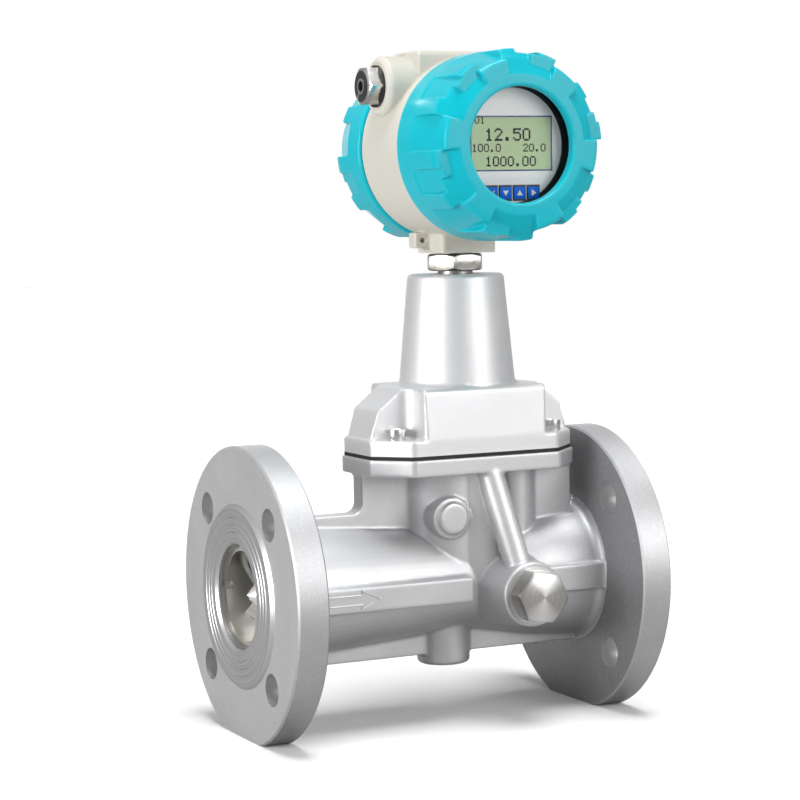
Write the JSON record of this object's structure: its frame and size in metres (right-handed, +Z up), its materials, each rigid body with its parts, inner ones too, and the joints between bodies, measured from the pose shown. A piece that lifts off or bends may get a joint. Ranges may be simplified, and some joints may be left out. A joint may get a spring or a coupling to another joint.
{
  "type": "swirl flow meter",
  "caption": "Flanged swirl gas meter: cast body with swirler and straightener, bolted bonnet, neck and a swivelling display head with screwed covers and keys.",
  "frame": {"origin": "under the middle of the pipe, on the plane of the two flange flats that it stands on", "axes": "+X along the flow, the display looks along -Y, +Z up"},
  "size_m": [0.23, 0.165, 0.374],
  "materials": {
    "body_casting": "blasted cast aluminium, fine grain",
    "bonnet_casting": "blasted cast aluminium, fine grain",
    "swirler_metal": "turned bright",
    "straightener_metal": "turned",
    "clip_steel": "spring steel",
    "sensor_steel": "turned stainless",
    "gland_brass": "turned brass",
    "gasket_sheet": "black sheet",
    "seal_rubber": "black rubber",
    "screw_steel": "zinc plated",
    "plug_steel": "turned stainless",
    "washer_metal": "plain washer",
    "nut_steel": "turned stainless",
    "entry_steel": "turned stainless",
    "housing_paint": "off-white paint, semi-gloss",
    "cover_paint": "cyan paint, semi-gloss",
    "pane": "clear toughened glass",
    "ring_plastic": "black moulded plastic",
    "faceplate_white": "white printed plate",
    "lcd": "green reflective display",
    "key_blue": "blue moulded key",
    "board_green": "circuit board",
    "post_brass": "plated brass",
    "cell_wrap": "shrink-wrapped lithium cell",
    "terminal_plastic": "green moulded plastic"
  },
  "bodies": {
    "base": {"meter_body": "body_casting", "swirler": "swirler_metal", "swirler_clip": "clip_steel", "flow_straightener": "straightener_metal", "straightener_clip": "clip_steel", "vortex_sensor": "sensor_steel", "vortex_sensor_seal": "seal_rubber", "sensor_gland": "gland_brass", "temperature_probe": "sensor_steel", "pressure_sensor": "sensor_steel", "bonnet_gasket": "gasket_sheet", "bonnet": "bonnet_casting", "bonnet_screws": "screw_steel", "pressure_tap_plug": "plug_steel", "plug_washer": "washer_metal", "neck_nipple": "nut_steel", "lock_nut": "nut_steel"},
    "head": {"electronics_housing": "housing_paint", "rear_collar": "housing_paint", "housing_foot": "housing_paint", "sealing_lug": "housing_paint", "cable_gland": "entry_steel", "gland_seal": "seal_rubber", "entry_plug": "entry_steel", "entry_plug_seal": "seal_rubber", "main_board": "board_green", "main_board_standoffs": "post_brass", "display_board": "board_green", "display_standoffs": "post_brass", "display_carrier": "ring_plastic", "display_faceplate": "faceplate_white", "display_module": "lcd", "battery": "cell_wrap", "battery_holder": "ring_plastic", "terminal_board": "board_green", "terminal_standoffs": "post_brass", "terminal_block": "terminal_plastic", "terminal_screws": "screw_steel"},
    "window_pack": {"window_glass": "pane", "window_gasket": "seal_rubber", "window_retainer": "ring_plastic", "front_cover_seal": "seal_rubber"},
    "front_cover": {"front_cover": "cover_paint"},
    "rear_pack": {"rear_cover_seal": "seal_rubber"},
    "rear_cover": {"rear_cover": "cover_paint"},
    "key_enter_body": {"key_enter": "key_blue"},
    "key_down_body": {"key_down": "key_blue"},
    "key_up_body": {"key_up": "key_blue"},
    "key_right_body": {"key_right": "key_blue"}
  },
  "joints": [
    {"name": "head_swivel", "type": "hinge", "parent": "base", "child": "head", "pos_m": [0.0231, 0, 0], "axis": [0, 0, 1], "range_deg": [-170, 170]},
    {"name": "front_cover_travel", "type": "slide", "parent": "head", "child": "window_pack", "axis": [0, -1, 0], "range_m": [0, 0.012]},
    {"name": "front_cover_turn", "type": "hinge", "parent": "window_pack", "child": "front_cover", "pos_m": [0.0231, 0, 0.3207], "axis": [0, -1, 0], "range_deg": [0, 2160]},
    {"name": "rear_cover_travel", "type": "slide", "parent": "head", "child": "rear_pack", "axis": [0, 1, 0], "range_m": [0, 0.012]},
    {"name": "rear_cover_turn", "type": "hinge", "parent": "rear_pack", "child": "rear_cover", "pos_m": [0.0231, 0, 0.3207], "axis": [0, 1, 0], "range_deg": [0, 2160]},
    {"name": "key_enter_press", "type": "slide", "parent": "head", "child": "key_enter_body", "axis": [0, 1, 0], "range_m": [0, 0.0006], "stiffness_N_per_m": 1500},
    {"name": "key_down_press", "type": "slide", "parent": "head", "child": "key_down_body", "axis": [0, 1, 0], "range_m": [0, 0.0006], "stiffness_N_per_m": 1500},
    {"name": "key_up_press", "type": "slide", "parent": "head", "child": "key_up_body", "axis": [0, 1, 0], "range_m": [0, 0.0006], "stiffness_N_per_m": 1500},
    {"name": "key_right_press", "type": "slide", "parent": "head", "child": "key_right_body", "axis": [0, 1, 0], "range_m": [0, 0.0006], "stiffness_N_per_m": 1500}
  ],
  "couplings": [
    {"joint": "front_cover_travel", "follows": "front_cover_turn", "m_per_rad": 0.000318},
    {"joint": "rear_cover_travel", "follows": "rear_cover_turn", "m_per_rad": 0.000318}
  ]
}
